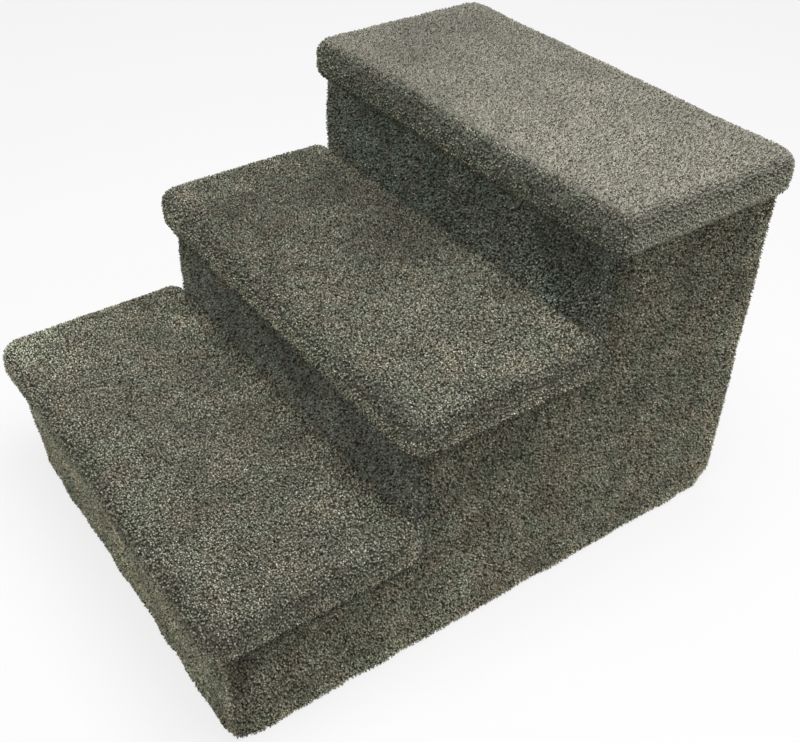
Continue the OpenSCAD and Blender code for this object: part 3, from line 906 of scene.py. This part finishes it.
def pile_tone_and_painted_light(tree, outward, combed, kind):
    """Tone of the pile by its kind, with painted sheen and painted shade by the way it faces."""
    parts = tree.add("ShaderNodeSeparateXYZ", None, {0: outward})
    rise, rear = parts["Z"], parts["Y"]
    bend = rise.fade(0.98, 0.80) * rise.fade(0.05, 0.35) * rear.fade(0.5, 0.2)
    facing = combed.fade(0, 1, 1, combed_painted_sheen) * bend.fade(0, 1, 1.0, bend_painted_shade)
    lay = vector_maths(tree, "SCALE", kind["tone"], facing)
    in_front = rear.fade(-0.15, -0.6) + rise.fade(0.8, 0.3, 0.0, 0.5)
    front_tint = vector_maths(tree, "SCALE", kind.get("front_tint", (0, 0, 0)), in_front)
    return vector_maths(tree, "MULTIPLY", lay, vector_maths(tree, "ADD", front_tint, (1, 1, 1)))


# %% [markdown]
# ## Sowing the pile
# Tufts could be placed one by one in Python, by a particle system, or by geometry nodes. Geometry
# nodes are quick and give the same result each run: Poisson points keep the tufts a yarn apart with
# no rows in sight, and a few are left out, as in any carpet.

# %% Geometry nodes for the pile
tuft_spacing = 0.00188
candidate_density = 700000.0
missing_tufts = 0.05
smallest_tuft = (0.85, 0.85, 0.84)
largest_tuft = (1.25, 1.25, 1.02)
combed_size = 0.85


def pile_tree(name, seed, kind):
    """Nodes that sow tufts over a skin, leaning with the nap, and comb them flat underneath."""
    group = bpy.data.node_groups.new(name, "GeometryNodeTree")
    group.interface.new_socket("Skin", in_out="INPUT", socket_type="NodeSocketGeometry")
    group.interface.new_socket("Pile", in_out="OUTPUT", socket_type="NodeSocketGeometry")
    tree = Tree(group)
    points = tree.add("GeometryNodeDistributePointsOnFaces", dict(distribute_method="POISSON"),
                      {"Mesh": tree.add("NodeGroupInput")["Skin"], "Distance Min": tuft_spacing,
                       "Density Max": candidate_density, "Seed": seed})
    missing = tree.add("FunctionNodeRandomValue", dict(data_type="BOOLEAN"),
                       {"Probability": missing_tufts, "Seed": seed + 5})["Value"]
    combed = tree.add("GeometryNodeInputNamedAttribute", dict(data_type="FLOAT"),
                      {"Name": "laid"})["Attribute"]
    lean = tuft_lean(tree, points["Normal"], combed, kind, seed)
    size = random_value(tree, smallest_tuft, largest_tuft, "FLOAT_VECTOR", seed + 3)
    size = vector_maths(tree, "SCALE", size, combed.fade(0, 1, 1.0, combed_size))
    shape = tree.add("GeometryNodeObjectInfo", None, {"Object": tuft})["Geometry"]
    tufts = tree.add("GeometryNodeInstanceOnPoints", None,
                     {"Points": points["Points"], "Selection": 1 - missing, "Instance": shape,
                      "Rotation": tuft_turn(tree, lean, seed), "Scale": size})["Instances"]
    stored = (("yarn", "FLOAT", random_value(tree, 0.0, 1.0, "FLOAT", seed + 4)),
              ("lay", "FLOAT_VECTOR", pile_tone_and_painted_light(tree, points["Normal"], combed, kind)),
              ("root_dark", "FLOAT", kind["root_dark"]))
    for label, data_type, value in stored:
        tufts = tree.add("GeometryNodeStoreNamedAttribute",
                         dict(data_type=data_type, domain="INSTANCE"),
                         {"Geometry": tufts, "Name": label, "Value": value})["Geometry"]
    tufts = tree.add("GeometryNodeRealizeInstances", None, {"Geometry": tufts})["Geometry"]
    tree.add("NodeGroupOutput", None, {"Pile": tufts})
    return group


print("tufts stand at least", round(1000 * tuft_spacing, 2), "mm apart")

# %% [markdown]
# The nodes work on a skin and leave a mesh, which becomes a piece of its own. Two things are put
# right on the finished mesh: what would stand below the floor is lifted to lie on it, and each tuft
# gets its own cell of the map through which the export bakes colours.

# %% Sowing a skin
floor_gap = 0.0003


def finished_mesh(piece):
    """The mesh of a piece with its modifiers applied."""
    bpy.context.view_layer.update()
    depsgraph = bpy.context.evaluated_depsgraph_get()
    return bpy.data.meshes.new_from_object(piece.evaluated_get(depsgraph))


def press_on_floor(mesh):
    """Lifts what would stand below the floor to lie on it."""
    places = np.empty(3 * len(mesh.vertices), dtype=np.float32)
    mesh.vertices.foreach_get("co", places)
    places[2::3] = np.maximum(places[2::3], floor_gap)
    mesh.vertices.foreach_set("co", places)


def spread_cells(mesh):
    """Gives every tuft its own cell of the map that the export bakes through."""
    cells = mesh.uv_layers["OFBake"].uv
    loops_each = len(tuft.data.loops)
    spots = np.empty(2 * len(cells), dtype=np.float32)
    cells.foreach_get("vector", spots)
    spots = spots.reshape(-1, loops_each, 2)
    side = int(np.ceil(np.sqrt(len(spots))))
    number = np.arange(len(spots))
    corner = np.stack((number % side, number // side), axis=1)
    spots = (spots + corner[:, None, :]) / side
    cells.foreach_set("vector", spots.astype(np.float32).ravel())


def sow_pile(name, skin, seed, kind):
    """A piece made of the tufts that stand on a skin."""
    ground = link(name + "_ground", skin)
    sowing = ground.modifiers.new("pile", "NODES")
    sowing.node_group = pile_tree(name, seed, kind)
    pile = link(name, finished_mesh(ground))
    bpy.data.objects.remove(ground)
    press_on_floor(pile.data)
    spread_cells(pile.data)
    pile.data.materials.clear()
    pile.data.materials.append(pile_material)
    print(name, len(pile.data.polygons), "faces")
    return pile


# %% [markdown]
# ## Kinds of pile
# All nine pieces are cut from one roll, and still look different. Treads are brushed towards the
# back by paws, walls hang down with their own weight, and the upper tread is the palest, with pile
# that lies flattest. A kind is a nap, a tone, how much painted shade its roots take and how far tufts
# stray. Each tone is set to how bright its piece looks, so besides the nap it carries painted light
# and shade of that piece.

# %% Kinds of pile
def tone(share, red=1.0, blue=1.0):
    """A shade with a little more or less red and blue."""
    return share * red, share, share * blue


tread_nap = (0.05, 0.42, 0.0)
upper_tread_nap = (0.10, 0.75, 0.0)
wall_nap = (0.0, 0.0, -0.30)
walls = dict(nap=wall_nap, tone=tone(0.925, 1.005, 0.92), root_dark=0.32, stray=0.27)
kinds = {
    "lower_tread_carpet": dict(nap=tread_nap, tone=tone(0.850, 1.0, 0.95), root_dark=0.17,
                               stray=0.50),
    "middle_tread_carpet": dict(nap=tread_nap, tone=tone(0.785, 1.0, 0.95), root_dark=0.11,
                                stray=0.50),
    "upper_tread_carpet": dict(nap=upper_tread_nap, tone=tone(1.02, 1.01, 1.03), root_dark=0.28,
                               stray=0.40, front_tint=(-0.055, 0.0, -0.06)),
    "middle_riser_carpet": dict(walls, tone=tone(1.15, 0.95, 1.0), root_dark=0.26),
    "upper_riser_carpet": dict(walls, tone=tone(0.93, 0.89, 0.98), root_dark=0.16),
}
print(len(kinds), "pieces have a pile of their own, and the others hang like walls")

# %% [markdown]
# ## Make every carpet
# On the real stairs each piece of carpet is cut to size, wrapped and stapled. The size of each cut,
# measured round its folds and hems, is listed, and only their sum is printed. Solidify gives each
# sheet the thickness of its ground, which is more on the treads, where it is wrapped round a board,
# than on the walls.

# %% Cuts
tread_ground = 0.0058
wall_ground = 0.0036
# Width and length of each cut, its area where it isn't a rectangle, and its ground's thickness
cuts = {
    "lower_tread_carpet": ((0.606, 0.346), 0.168, tread_ground),
    "middle_tread_carpet": ((0.606, 0.348), 0.166, tread_ground),
    "upper_tread_carpet": ((0.606, 0.371), 0.170, tread_ground),
    "lower_riser_carpet": ((0.438, 0.143), None, wall_ground),
    "middle_riser_carpet": ((0.438, 0.115), None, wall_ground),
    "upper_riser_carpet": ((0.438, 0.116), None, wall_ground),
    "left_side_carpet": ((0.554, 0.374), 0.144, wall_ground),
    "right_side_carpet": ((0.554, 0.374), 0.144, wall_ground),
    "back_carpet": ((0.438, 0.374), None, wall_ground),
}
print("carpet in all, m2:", round(sum(area or flat[0] * flat[1] for flat, area, _ in cuts.values()), 3))

# %% Carpets
seeds_each = 10


def make_sheet(node, skin, thickness):
    """The ground of a carpet: its skin made thick, with the backing on its inner side."""
    sheet = link(node + "_sheet", skin)
    sheet.data.materials.clear()
    sheet.data.materials.append(ground_material)
    sheet.data.materials.append(backing_material)
    ground = sheet.modifiers.new("ground", "SOLIDIFY")
    ground.thickness = thickness
    ground.offset = -1
    ground.material_offset = 1
    sheet.data = finished_mesh(sheet)
    sheet.modifiers.clear()
    press_on_floor(sheet.data)
    return sheet


for number, (node, (flat, area, thickness)) in enumerate(cuts.items()):
    skin = carpet_skin(node)
    pile = sow_pile(node + "_pile", skin.copy(), seeds_each * number, kinds.get(node, walls))
    sheet = make_sheet(node, skin, thickness)
    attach(pile, "root")
    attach(sheet, "root")
    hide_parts(node)

bpy.data.objects.remove(tuft)

# %% [markdown]
# ## Wood and steel
# From below one sees the inside of the box. Wood could be one texture for every piece, but its
# grain has to run along each board. So each wood is one function of the way its grain runs, on the
# model's own coordinates, stretched along the grain.

# %% Grain
axes = {"X": Vector((1, 0, 0)), "Y": Vector((0, 1, 0)), "Z": Vector((0, 0, 1))}


def along_grain(tree, place, axis, coarse, fine):
    """Coordinates stretched along an axis: coarse features along it, fine ones across it."""
    scales = Vector((fine, fine, fine)) + axes[axis] * (coarse - fine)
    return tinted(tree, place, scales)


def share_of(tree, vector, axis):
    """The part of a vector along an axis."""
    return tree.add("ShaderNodeSeparateXYZ", None, {0: vector})[axis]


# %% [markdown]
# Plywood shows the broad figure of a peeled veneer on its faces, and its plies on every edge, light
# and dark in turn with a thin line of glue between. The way a face points decides which it shows.

# %% Plywood
def plywood(name, grain, through, ply):
    """Plywood whose face grain runs along one axis, with plies stacked through another."""
    material, tree = new_material(name)
    coordinates = tree.add("ShaderNodeTexCoord")
    place = coordinates["Object"]
    figure = noise_field(tree, along_grain(tree, place, grain, 3.0, 42.0), 1.0, 4.0, 0.6)
    pores = noise_field(tree, along_grain(tree, place, grain, 25.0, 900.0), 1.0, 2.0)
    veneer = ramp(tree, figure, (0.32, (0.44, 0.275, 0.135)), (0.5, (0.58, 0.395, 0.21)),
                  (0.68, (0.70, 0.51, 0.30)))
    veneer = dimmed(tree, veneer, pores.fade(0.3, 0.55, 0.82, 1.0))
    layer = share_of(tree, place, through) / (2 * ply)
    layer = layer.maths("PINGPONG", layer, 0.5) * 2
    stripes = ramp(tree, layer, (0.0, (0.62, 0.44, 0.25)), (0.46, (0.60, 0.42, 0.23)),
                   (0.5, (0.16, 0.09, 0.045)), (0.54, (0.36, 0.22, 0.11)), (1.0, (0.33, 0.20, 0.10)))
    facing = share_of(tree, coordinates["Normal"], through)
    edge = facing.maths("ABSOLUTE", facing).fade(0.9, 0.6)
    colour = tree.add("ShaderNodeMix", dict(data_type="RGBA"),
                      {"Factor": edge, "A": veneer, "B": stripes})["Result"]
    principled(tree, {"Base Color": colour, "Roughness": 0.62})
    return material


# %% [markdown]
# The posts, cleats and rails are planed pine, with straight growth lines. The screws and staples are
# steel plated with zinc, which is a metal with a cloudy, half-dull shine.

# %% Pine and zinc-plated steel
def softwood(name, grain):
    """Planed pine with its growth lines along one axis."""
    material, tree = new_material(name)
    place = tree.add("ShaderNodeTexCoord")["Object"]
    lines = noise_field(tree, along_grain(tree, place, grain, 4.0, 210.0), 1.0, 2.0)
    broad = noise_field(tree, along_grain(tree, place, grain, 2.0, 30.0), 1.0, 2.0)
    colour = ramp(tree, lines, (0.38, (0.50, 0.30, 0.125)), (0.46, (0.66, 0.455, 0.235)),
                  (0.62, (0.76, 0.565, 0.325)))
    colour = dimmed(tree, colour, broad.fade(0.3, 0.7, 0.88, 1.06))
    principled(tree, {"Base Color": colour, "Roughness": 0.58})
    return material


def zinc():
    """Zinc-plated steel, a little cloudy."""
    material, tree = new_material("zinc_plated_steel")
    place = tree.add("ShaderNodeTexCoord")["Object"]
    cloud = noise_field(tree, place, 260.0, 3.0)
    colour = ramp(tree, cloud, (0.3, (0.50, 0.51, 0.52)), (0.7, (0.68, 0.68, 0.66)))
    principled(tree, {"Base Color": colour, "Metallic": 1.0,
                      "Roughness": cloud.fade(0.3, 0.7, 0.30, 0.46)})
    return material


# %% Finish the wood and steel
panel_ply = 0.0024
tread_ply = 0.0019
finishes = {
    plywood("side_plywood", "Y", "X", panel_ply): ["left_side_panel", "right_side_panel"],
    plywood("cross_plywood", "X", "Y", panel_ply): [
        "lower_riser_board", "middle_riser_board", "upper_riser_board", "back_panel"],
    plywood("tread_plywood", "X", "Z", tread_ply): [
        "lower_tread_board", "middle_tread_board", "upper_tread_board"],
    softwood("post_pine", "Z"): ["front_posts", "middle_posts", "upper_posts", "rear_posts"],
    softwood("cleat_pine", "Y"): [
        "lower_tread_cleats", "middle_tread_cleats", "upper_tread_cleats"],
    softwood("rail_pine", "X"): ["middle_cross_rail", "upper_cross_rail"],
    zinc(): ["side_screws", "riser_screws", "tread_screws", "tread_staples", "hem_staples"],
}
for material, nodes in finishes.items():
    for node in nodes:
        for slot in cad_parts[node].material_slots:
            slot.material = material
print("finished", sum(len(nodes) for nodes in finishes.values()), "pieces of wood and steel")

# %% [markdown]
# ## Sizes
# The pile may stand a little past the CAD model, as real pile does past a tape measure's hard edge.
# The difference between the two boxes is printed.

# %% Sizes
final_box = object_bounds()
grown = (*(cad_box[0] - final_box[0]), *(final_box[1] - cad_box[1]))
print("visual box grows by, mm:", [round(1000 * size, 1) for size in grown])
